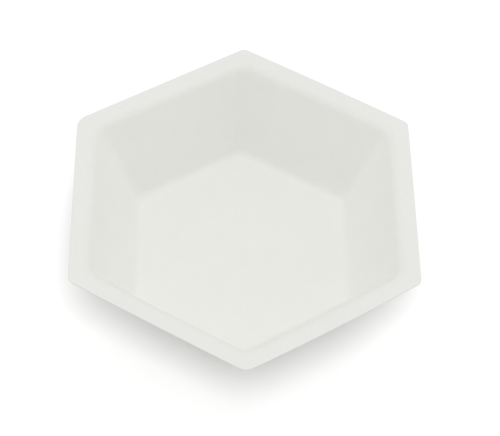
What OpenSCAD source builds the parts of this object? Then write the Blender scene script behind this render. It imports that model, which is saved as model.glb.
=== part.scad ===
// Hexagonal weighing boat: one thermoformed sheet with a flat floor, six
// flared walls and a flat rim. Millimetres, +Z up. The origin is at the centre
// of the underside, and two of the six corners lie on the Y axis.

/* [Overall] */
// Width of the rim across two opposite flats
rim_across = 82; // [68:0.5:120]
// Width of the floor across two opposite flats, at the foot of the walls
floor_across = 52.6; // [36:0.5:63]
// Height from the surface it stands on to the top of the rim
boat_h = 22; // [12:0.1:32]
// Thickness of the formed sheet
sheet = 0.3; // [0.2:0.05:0.6]

/* [Rim] */
// Width of the flat part of the rim, from the cut edge to the roll
rim_flat = 2.5; // [2:0.1:6]
// Radius of the roll from the flat rim down into the wall, on the upper face
roll_r = 3; // [1:0.1:5]
// Radius of the cut corners of the rim
rim_corner_r = 2; // [0.5:0.1:6]

/* [Walls and floor] */
// Radius of the fillet between the floor and the walls, on the upper face
floor_r = 2.1; // [1:0.1:4]
// Radius of the fold between two walls at the floor, on the upper face
fold_foot_r = 2.9; // [1:0.1:6]
// Radius of the fold between two walls at the rim, on the upper face
fold_top_r = 4.3; // [1:0.1:8]

/* [Smoothness] */
// Number of steps round each corner of the outline
corner_steps = 8; // [3:1:12]
// Number of steps up the floor fillet
fillet_steps = 7; // [3:1:12]
// Number of steps over the roll
roll_steps = 9; // [3:1:14]

/* [Hidden] */

polystyrene = [0.91, 0.92, 0.9];
sides = 6;
side_angle = 360 / sides;
// How far the shape that cuts out the inside runs on above the rim
overrun = 1;

// The section lies in the plane across two flats. Its wall is the tangent
// from the foot of the wall to the roll, which starts where the flat rim ends.
foot_x = floor_across / 2;
roll_x = rim_across / 2 - rim_flat;
roll_z = boat_h - roll_r;
run = roll_x - foot_x;
rise = roll_z - sheet;
// Angle of the wall from the vertical, and how far the sheet bends to reach it
flare = acos(roll_r / norm([run, rise])) - atan2(rise, run);
bend = 90 - flare;
// Centre of the floor fillet, tangent to the floor and to the wall
fillet_x = foot_x - floor_r * tan(bend / 2);
fillet_z = sheet + floor_r;

// Radius of a fold on the upper face at height z
function fold_r(z) =
    fold_foot_r + (fold_top_r - fold_foot_r) * (z - sheet) / (boat_h - sheet);

// One stop of the section: [distance to the flat, height, fold radius]. It
// lies on an arc of the upper face, or off that arc by a distance outward. A
// fold keeps its centre through the sheet, so its radius changes by as much.
function stop(centre, r, dir, off) =
    let (x = centre[0] + r * cos(dir), z = centre[1] + r * sin(dir))
    [x + off * cos(dir), z + off * sin(dir), fold_r(z) + off * cos(dir)];

// Section of the sheet's upper face, or of its back, from the floor fillet up
// to the start of the flat rim. The back is outside the fillet's arc and
// inside the roll's.
function section(back) = concat(
    [
        for (i = [0 : fillet_steps])
            stop([fillet_x, fillet_z], floor_r, i * bend / fillet_steps - 90, back ? sheet : 0)
    ],
    [
        for (i = [0 : roll_steps])
            stop([roll_x, roll_z], roll_r, 90 + bend - i * bend / roll_steps, back ? -sheet : 0)
    ]
);

// Hexagon with round corners at one stop of the section, as a ring of points.
// Its first corner lies on the Y axis.
function ring(at) = [
    for (side = [0 : sides - 1], i = [0 : corner_steps])
        let (
            mid = 90 + side * side_angle,
            dir = mid + (i / corner_steps - 0.5) * side_angle,
            reach = (at[0] - at[2]) / cos(side_angle / 2)
        )
        [reach * cos(mid) + at[2] * cos(dir), reach * sin(mid) + at[2] * sin(dir), at[1]]
];

// Solid skinned over a stack of rings, from the lowest to the highest
module skin(stops) {
    n = sides * (corner_steps + 1);
    top = len(stops) - 1;
    polyhedron(
        points = [for (at = stops) each ring(at)],
        faces = concat(
            [
                for (level = [0 : top - 1], i = [0 : n - 1])
                    let (a = level * n + i, b = level * n + (i + 1) % n)
                    [a, a + n, b + n, b]
            ],
            [[for (i = [0 : n - 1]) i]],
            [[for (i = [n - 1 : -1 : 0]) top * n + i]]
        ),
        convexity = 6
    );
}

// The space that the sheet's back encloses, up to the top of the rim
module outside() {
    rim_x = rim_across / 2;
    skin(concat(
        section(true),
        [[rim_x, boat_h - sheet, rim_corner_r], [rim_x, boat_h, rim_corner_r]]
    ));
}

// The space that the boat holds, run on past the top of the rim
module inside() {
    skin(concat(section(false), [[roll_x, boat_h + overrun, fold_r(boat_h)]]));
}

module boat() {
    color(polystyrene)
    difference() {
        outside();
        inside();
    }
}

boat();
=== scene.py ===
"""A hexagonal weighing boat on a plain white surface, in soft light from all round."""
import math

import bpy
from mathutils import Matrix, Vector


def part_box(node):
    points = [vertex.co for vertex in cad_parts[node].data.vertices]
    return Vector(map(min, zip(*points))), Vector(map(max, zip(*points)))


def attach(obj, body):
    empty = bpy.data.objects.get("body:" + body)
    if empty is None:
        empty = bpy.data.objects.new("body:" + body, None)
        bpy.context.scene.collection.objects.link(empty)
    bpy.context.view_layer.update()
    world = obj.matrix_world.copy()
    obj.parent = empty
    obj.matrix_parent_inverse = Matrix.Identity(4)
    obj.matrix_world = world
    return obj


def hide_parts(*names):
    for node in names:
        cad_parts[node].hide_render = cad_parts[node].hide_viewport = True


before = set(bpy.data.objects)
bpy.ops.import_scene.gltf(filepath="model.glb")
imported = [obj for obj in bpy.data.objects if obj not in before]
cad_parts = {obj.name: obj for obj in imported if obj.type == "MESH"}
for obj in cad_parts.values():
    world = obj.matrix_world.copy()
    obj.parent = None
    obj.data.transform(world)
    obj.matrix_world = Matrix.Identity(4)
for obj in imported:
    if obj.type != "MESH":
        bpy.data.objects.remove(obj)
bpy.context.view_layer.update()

MM = 0.001

# Sizes of the boat: the first two come from the CAD model's box, and the others repeat its source
LOW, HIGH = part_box("boat")
RIM_ACROSS = HIGH[0] - LOW[0]
BOAT_H = HIGH[2] - LOW[2]
FLOOR_ACROSS = 52.6 * MM
SHEET = 0.3 * MM
RIM_FLAT = 2.5 * MM
ROLL_R = 3.0 * MM
RIM_CORNER_R = 2.0 * MM
FLOOR_R = 2.1 * MM
FOLD_FOOT_R = 2.9 * MM
FOLD_TOP_R = 4.3 * MM

# Where the section of the sheet turns, from the middle out and from the surface up
RIM_X = RIM_ACROSS / 2
ROLL_X = RIM_X - RIM_FLAT
ROLL_Z = BOAT_H - ROLL_R
EDGE_X = RIM_X - SHEET / 2

# A corner's radius is at most this share of its ring's half width, so that each ring keeps its sides
MOST_ROUND = 0.9

SIDES = 6
SIDE_ANGLE = 2 * math.pi / SIDES

# The formed rim isn't quite even: some corners are rounder, some are pulled aside (x, y), and some
# edges bow outwards. Corners go round from the far one by the left, and an edge has the name of the
# corner that it starts from.
CORNERS = ["far", "far_left", "near_left", "near", "near_right", "far_right"]
EXTRA_ROUND = {"far_left": 1.9 * MM, "near": 1.0 * MM, "near_right": 0.4 * MM, "far_right": 0.2 * MM}
CORNER_PULL = {"far": (0.40 * MM, -0.12 * MM), "near": (-0.05 * MM, -0.14 * MM)}
EDGE_BOW = {"near": 0.33 * MM, "near_left": 0.10 * MM, "far_right": 0.15 * MM}

# Fineness of the mesh
CORNER_STEPS = 14
SIDE_STEPS = 14
FLOOR_STEPS = 12
FILLET_STEPS = 10
WALL_STEPS = 16
ROLL_STEPS = 14
FLAT_STEPS = 5
EDGE_STEPS = 4


# ---------------------------------------------------------------- the sheet
def spread(first, last, steps):
    """Evenly spaced values from first to last, with both ends."""
    return [first + (last - first) * i / steps for i in range(steps + 1)]


def wall_flare():
    """Angle of the wall from the vertical: the tangent from its foot to the roll."""
    run = ROLL_X - FLOOR_ACROSS / 2
    rise = ROLL_Z - SHEET
    return math.acos(ROLL_R / math.hypot(run, rise)) - math.atan2(rise, run)


def face_section():
    """The sheet's upper face across two flats: (x, z, normal x, normal z) from the middle out."""
    flare = wall_flare()
    bend = math.pi / 2 - flare
    fillet_x = FLOOR_ACROSS / 2 - FLOOR_R * math.tan(bend / 2)
    fillet_z = SHEET + FLOOR_R
    stops = [(x, SHEET, 0.0, 1.0) for x in spread(0.0, fillet_x, FLOOR_STEPS)[1:-1]]
    for turn in spread(-math.pi / 2, -flare, FILLET_STEPS):
        c, s = math.cos(turn), math.sin(turn)
        stops.append((fillet_x + FLOOR_R * c, fillet_z + FLOOR_R * s, -c, -s))
    foot = stops[-1]
    top = (ROLL_X - ROLL_R * math.cos(flare), ROLL_Z + ROLL_R * math.sin(flare))
    for share in spread(0.0, 1.0, WALL_STEPS)[1:-1]:
        stops.append((foot[0] + (top[0] - foot[0]) * share,
                      foot[1] + (top[1] - foot[1]) * share, foot[2], foot[3]))
    for turn in spread(math.pi - flare, math.pi / 2, ROLL_STEPS):
        c, s = math.cos(turn), math.sin(turn)
        stops.append((ROLL_X + ROLL_R * c, ROLL_Z + ROLL_R * s, c, s))
    stops += [(x, BOAT_H, 0.0, 1.0) for x in spread(ROLL_X, EDGE_X, FLAT_STEPS)[1:]]
    return stops


def flat_share(x):
    """How far x lies across the flat of the rim: 0 up to the roll's top, and 1 at the rim."""
    return min(max((x - ROLL_X) / RIM_FLAT, 0.0), 1.0)


def fold_radius(x, z):
    """Corner radius of the hexagon through a point of the upper face."""
    share = (z - SHEET) / (BOAT_H - SHEET)
    radius = FOLD_FOOT_R + (FOLD_TOP_R - FOLD_FOOT_R) * share
    radius += (RIM_CORNER_R - radius) * flat_share(x)
    return min(radius, x * MOST_ROUND)


def sheet_section():
    """The whole sheet's section: (x, z, corner radius) over the upper face, the edge and the back."""
    upper, back = [], []
    for x, z, nx, nz in face_section():
        radius = fold_radius(x, z)
        upper.append((x, z, radius))
        back.append((x - SHEET * nx, z - SHEET * nz, max(radius - SHEET * nx, 0.0)))
    edge = []
    for turn in spread(math.pi / 2, -math.pi / 2, EDGE_STEPS * 2)[1:-1]:
        out = SHEET / 2 * math.cos(turn)
        up = SHEET / 2 * math.sin(turn)
        edge.append((EDGE_X + out, BOAT_H - SHEET / 2 + up, RIM_CORNER_R))
    return upper + edge + back[::-1]


def uneven_share(z):
    """How much of the pull and the bow a height has: all at the rim, and next to none at the floor."""
    return (z / BOAT_H) ** 2


def corner_arc(corner, x, z, radius):
    """One corner of a hexagon at one height, as points on its arc."""
    radius += EXTRA_ROUND.get(CORNERS[corner], 0.0) * flat_share(x)
    mid = math.pi / 2 + corner * SIDE_ANGLE
    reach = (x - radius) / math.cos(SIDE_ANGLE / 2)
    pull = Vector(CORNER_PULL.get(CORNERS[corner], (0.0, 0.0))) * uneven_share(z)
    return [Vector((reach * math.cos(mid) + radius * math.cos(turn) + pull.x,
                    reach * math.sin(mid) + radius * math.sin(turn) + pull.y, z))
            for turn in spread(mid - SIDE_ANGLE / 2, mid + SIDE_ANGLE / 2, CORNER_STEPS)]


def ring(x, z, radius):
    """A hexagon with round corners as points at one height, its first corner on the Y axis."""
    arcs = [corner_arc(corner, x, z, radius) for corner in range(SIDES)]
    points = []
    for corner, arc in enumerate(arcs):
        points += arc
        facing = math.pi / 2 + (corner + 0.5) * SIDE_ANGLE
        bow = EDGE_BOW.get(CORNERS[corner], 0.0) * uneven_share(z)
        outward = Vector((math.cos(facing), math.sin(facing), 0.0)) * bow
        start = arcs[(corner + 1) % SIDES][0]
        for share in spread(0.0, 1.0, SIDE_STEPS)[1:-1]:
            # The bow is a parabola, full at the middle of the edge
            points.append(arc[-1].lerp(start, share) + outward * 4 * share * (1 - share))
    return points


# --------------------------------------------- the mesh, with forming marks
# The walls' streaks fade in over these heights above the surface and these depths below the rim
WALL_FOOT = (0.5 * MM, 4.0 * MM)
WALL_TOP = (0.0, 3.0 * MM)
# The share of a height that the draw keeps, which is small so that streaks are long
DRAW_KEEPS = 0.08


def smooth(first, last, value):
    """0 before first, 1 after last, and a soft step between them."""
    share = min(1.0, max(0.0, (value - first) / (last - first)))
    return share * share * (3 - 2 * share)


def add_forming_marks(mesh):
    """What the forming did to each point, for the material: wall is 1 on the walls, and draw
    changes round the boat but hardly down a wall, so that a noise on it is drawn into streaks."""
    wall = mesh.attributes.new("wall", "FLOAT", "POINT")
    draw = mesh.attributes.new("draw", "FLOAT_VECTOR", "POINT")
    for i, vertex in enumerate(mesh.vertices):
        x, y, z = vertex.co
        turn = math.atan2(y, x)
        wall.data[i].value = smooth(*WALL_FOOT, z) * smooth(*WALL_TOP, BOAT_H - z)
        draw.data[i].vector = (RIM_X * math.cos(turn), RIM_X * math.sin(turn), z * DRAW_KEEPS)


def closed_skin(rings):
    """Points and faces of a skin over all the rings, closed across the floor's face and its back."""
    around = len(rings[0])
    points = [point for points_round in rings for point in points_round]
    faces = []
    for level in range(len(rings) - 1):
        for i in range(around):
            a, b = level * around + i, level * around + (i + 1) % around
            faces.append((a, a + around, b + around, b))
    for level, z in ((0, SHEET), (len(rings) - 1, 0.0)):
        middle = len(points)
        points.append(Vector((0.0, 0.0, z)))
        for i in range(around):
            a, b = level * around + i, level * around + (i + 1) % around
            faces.append((middle, a, b) if level == 0 else (middle, b, a))
    return points, faces


def make_boat():
    """The formed sheet as one smooth mesh, with its forming marks."""
    points, faces = closed_skin([ring(*stop) for stop in sheet_section()])
    mesh = bpy.data.meshes.new("formed_sheet")
    mesh.from_pydata(points, [], faces)
    mesh.validate()
    for polygon in mesh.polygons:
        polygon.use_smooth = True
    add_forming_marks(mesh)
    boat = bpy.data.objects.new("formed_sheet", mesh)
    bpy.context.scene.collection.objects.link(boat)
    return boat


# ------------------------------------------------------------- the material
PLASTIC_PALE = (0.942, 0.943, 0.910, 1.0)
PLASTIC_DEEP = (0.916, 0.917, 0.881, 1.0)
POLYSTYRENE_IOR = 1.59

# Each noise's size from patch to patch, and its detail
CLOUD = (14 * MM, 2.0)
PATCH = (2.6 * MM, 3.0)
STREAK = (1.7 * MM, 2.0)
GRAIN = (0.35 * MM, 2.0)
PATCHES_PER_CELL = 2
NOISE_MEAN = 0.5

# What each noise adds to the tone, which goes from pale at 0 to deep at 1, and to the roughness.
# The base is added everywhere.
TONE = {"cloud": 0.9, "patch": 0.7, "streak": 0.6, "grain": 1.0, "base": -0.8}
ROUGHNESS = {"patch": 0.10, "streak": 0.08, "grain": 0.06, "base": 0.52}

# How high the bumps of the surface stand
PATCH_HEIGHT = 0.05 * MM
GRAIN_HEIGHT = 0.015 * MM


class Nodes:
    """Short ways to add and join the nodes of one tree."""

    def __init__(self, tree):
        self.tree = tree

    def add(self, kind, **inputs):
        """A new node with some of its inputs set or linked."""
        node = self.tree.nodes.new(kind)
        for name, value in inputs.items():
            self.put(node.inputs[name], value)
        return node

    def attribute(self, name):
        """A node that reads one of the mesh's attributes."""
        node = self.add("ShaderNodeAttribute")
        node.attribute_name = name
        return node

    def put(self, socket, value):
        """Link the socket if the value is another node's output, or else set it."""
        if isinstance(value, bpy.types.NodeSocket):
            self.tree.links.new(value, socket)
        else:
            socket.default_value = value

    def noise(self, where, size, detail):
        """Noise from 0 to 1 whose patches are about size across."""
        scale = 1 / (PATCHES_PER_CELL * size)
        node = self.add("ShaderNodeTexNoise", Vector=where, Scale=scale, Detail=detail)
        return node.outputs["Fac"]

    def sum(self, *terms):
        """The sum of (value, weight) pairs."""
        total = 0.0
        for value, weight in terms:
            node = self.tree.nodes.new("ShaderNodeMath")
            node.operation = "MULTIPLY_ADD"
            self.put(node.inputs[0], value)
            self.put(node.inputs[1], weight)
            self.put(node.inputs[2], total)
            total = node.outputs[0]
        return total

    def blend(self, share, first, second):
        """A colour from first at a share of 0 to second at 1."""
        # The mix node's colours are its inputs 6 and 7 and its output 2
        node = self.tree.nodes.new("ShaderNodeMix")
        node.data_type = "RGBA"
        self.put(node.inputs[0], share)
        self.put(node.inputs[6], first)
        self.put(node.inputs[7], second)
        return node.outputs[2]


def make_polystyrene():
    """Matt white sheet: a cloudy tone, faint draw streaks down the walls and a fine grain."""
    material = bpy.data.materials.new("polystyrene")
    material.use_nodes = True
    nodes = Nodes(material.node_tree)
    shader = material.node_tree.nodes["Principled BSDF"]
    where = nodes.add("ShaderNodeTexCoord").outputs["Object"]
    streak = nodes.noise(nodes.attribute("draw").outputs["Vector"], *STREAK)
    centred = nodes.sum((streak, 1.0), (1.0, -NOISE_MEAN))
    noises = {
        "cloud": nodes.noise(where, *CLOUD),
        "patch": nodes.noise(where, *PATCH),
        "streak": nodes.sum((centred, nodes.attribute("wall").outputs["Fac"])),
        "grain": nodes.noise(where, *GRAIN),
        "base": 1.0,
    }

    tone = nodes.sum(*((noises[name], weight) for name, weight in TONE.items()))
    nodes.put(shader.inputs["Base Color"], nodes.blend(tone, PLASTIC_PALE, PLASTIC_DEEP))
    rough = nodes.sum(*((noises[name], weight) for name, weight in ROUGHNESS.items()))
    nodes.put(shader.inputs["Roughness"], rough)
    shader.inputs["IOR"].default_value = POLYSTYRENE_IOR

    waves = nodes.add("ShaderNodeBump", Strength=1.0, Distance=PATCH_HEIGHT, Height=noises["patch"])
    skin = nodes.add("ShaderNodeBump", Strength=1.0, Distance=GRAIN_HEIGHT, Height=noises["grain"],
                     Normal=waves.outputs["Normal"])
    nodes.put(shader.inputs["Normal"], skin.outputs["Normal"])
    return material


# ---------------------------------------------------------------- the stage
# The white surface's colour where it is looked at, and its colour for light that bounces off it
FLOOR_COLOUR = 1.035
FLOOR_BOUNCE = 0.35
# Half the width of the white surface, in metres
FLOOR_HALF = 3.0


def looked_at(tree):
    """1 for rays that show the surroundings, which are camera, glossy and transmission rays, or 0."""
    path = tree.nodes.new("ShaderNodeLightPath")
    seen = path.outputs["Is Camera Ray"]
    for kind in ("Is Glossy Ray", "Is Transmission Ray"):
        either = tree.nodes.new("ShaderNodeMath")
        either.operation = "MAXIMUM"
        tree.links.new(seen, either.inputs[0])
        tree.links.new(path.outputs[kind], either.inputs[1])
        seen = either.outputs[0]
    return seen


def mix_by_look(tree, output, lighting, shown):
    """The tree's output: one shader for the light that it gives, and one for where it is looked at."""
    out = tree.nodes.new(output)
    mix = tree.nodes.new("ShaderNodeMixShader")
    tree.links.new(looked_at(tree), mix.inputs[0])
    tree.links.new(lighting.outputs[0], mix.inputs[1])
    tree.links.new(shown.outputs[0], mix.inputs[2])
    tree.links.new(mix.outputs[0], out.inputs["Surface"])


def grey(level):
    """A colour without a hue."""
    return (level, level, level, 1.0)


def make_floor():
    """A plain surface that shows white and keeps the boat's shadow, and bounces less light than white."""
    material = bpy.data.materials.new("white_surface")
    material.use_nodes = True
    material.node_tree.nodes.clear()
    nodes = Nodes(material.node_tree)
    bounce = nodes.add("ShaderNodeBsdfDiffuse", Color=grey(FLOOR_BOUNCE))
    white = nodes.add("ShaderNodeBsdfDiffuse", Color=grey(FLOOR_COLOUR))
    mix_by_look(nodes.tree, "ShaderNodeOutputMaterial", bounce, white)
    w = FLOOR_HALF
    mesh = bpy.data.meshes.new("white_surface")
    mesh.from_pydata([(-w, -w, 0), (w, -w, 0), (w, w, 0), (-w, w, 0)], [], [(0, 1, 2, 3)])
    mesh.materials.append(material)
    floor = bpy.data.objects.new("white_surface", mesh)
    bpy.context.scene.collection.objects.link(floor)
    return floor


# ---------------------------------------------------------------- the light
# How brightly the room lights things, and how bright it is where it is looked at
WORLD_LIGHT = 0.53
WORLD_SHOWN = 1.0

# Each lamp's name, its azimuth to the right of the far side, its tilt from overhead and its spread,
# all in degrees, its strength, and what it lights
LAMPS = [
    ("overhead", 0.0, 0.0, 60.0, 0.483, "boat"),
    ("left", -80.0, 54.0, 65.0, 0.40, "boat"),
    ("right", 80.0, 54.0, 65.0, 0.445, "boat"),
    ("front", 180.0, 80.0, 20.0, 0.142, "boat"),
    ("floor_front", 180.0, 25.0, 40.0, 1.58, "floor"),
    ("floor_left", -40.0, 30.0, 40.0, 0.21, "floor"),
    ("floor_right", 40.0, 30.0, 40.0, 0.42, "floor"),
]


def make_world():
    """Even light from all round, and a white room where the surroundings show."""
    world = bpy.data.worlds.new("studio")
    bpy.context.scene.world = world
    world.use_nodes = True
    world.node_tree.nodes.clear()
    nodes = Nodes(world.node_tree)
    room = nodes.add("ShaderNodeBackground", Color=grey(1.0), Strength=WORLD_LIGHT)
    shown = nodes.add("ShaderNodeBackground", Color=grey(1.0), Strength=WORLD_SHOWN)
    mix_by_look(nodes.tree, "ShaderNodeOutputWorld", room, shown)


def make_lamp(name, azimuth, tilt, spread_deg, strength):
    """A soft light from far off, as wide as spread_deg in the sky."""
    lamp = bpy.data.lights.new(name, "SUN")
    lamp.energy = strength
    lamp.angle = math.radians(spread_deg)
    softbox = bpy.data.objects.new(name, lamp)
    az = math.radians(azimuth)
    down = math.radians(tilt)
    towards = Vector((math.sin(down) * math.sin(az), math.sin(down) * math.cos(az), math.cos(down)))
    softbox.rotation_euler = towards.to_track_quat("Z", "Y").to_euler()
    bpy.context.scene.collection.objects.link(softbox)
    return softbox


def light_scene(boat, floor):
    """The world lights everything. The boat and the floor also have lamps of their own, so that the
    floor's lamps shape the boat's shadow and put no light straight on the boat."""
    make_world()
    lit = {}
    for name, piece in (("boat", boat), ("floor", floor)):
        lit[name] = bpy.data.collections.new("lit_" + name)
        lit[name].objects.link(piece)
    for *lamp, lights in LAMPS:
        make_lamp(*lamp).light_linking.receiver_collection = lit[lights]


# --------------------------------------------------------------- the camera
# The view of the photograph, as fitted to the corners of the rim and of the floor
CAMERA_AZIMUTH = math.radians(-3.287)
CAMERA_ELEVATION = math.radians(55.111)
CAMERA_ROLL = math.radians(3.159)
CAMERA_DISTANCE = 395.3 * MM
# How far the camera aims to the right of the rim's middle, and below it, as the picture shows it
AIM_RIGHT = 1.37 * MM
AIM_DOWN = 4.65 * MM
# Focal length and width of the sensor, in millimetres as Blender takes them
LENS = 118.8
SENSOR = 36.0
# What the camera draws, in metres from it
CLIP_START = 0.01
CLIP_END = 20.0


def make_camera():
    """The camera stands on the near side and aims a little beside the middle of the rim."""
    az, el, roll = CAMERA_AZIMUTH, CAMERA_ELEVATION, CAMERA_ROLL
    back = Vector((math.sin(az) * math.cos(el), -math.cos(az) * math.cos(el), math.sin(el)))
    level = Vector((math.cos(az), math.sin(az), 0.0))
    upright = back.cross(level)
    right = level * math.cos(roll) + upright * math.sin(roll)
    up = upright * math.cos(roll) - level * math.sin(roll)
    middle = Vector((0.0, 0.0, BOAT_H))
    place = middle + right * AIM_RIGHT - up * AIM_DOWN + back * CAMERA_DISTANCE
    data = bpy.data.cameras.new("camera")
    data.sensor_width = SENSOR
    data.lens = LENS
    data.clip_start = CLIP_START
    data.clip_end = CLIP_END
    camera = bpy.data.objects.new("camera", data)
    turn = Matrix((right, up, back)).transposed().to_4x4()
    camera.matrix_world = Matrix.Translation(place) @ turn
    bpy.context.scene.collection.objects.link(camera)
    bpy.context.scene.camera = camera


make_camera()
boat = make_boat()
boat.data.materials.append(make_polystyrene())
light_scene(boat, make_floor())
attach(boat, "root")
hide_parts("boat")

bpy.context.scene.view_settings.view_transform = "Standard"
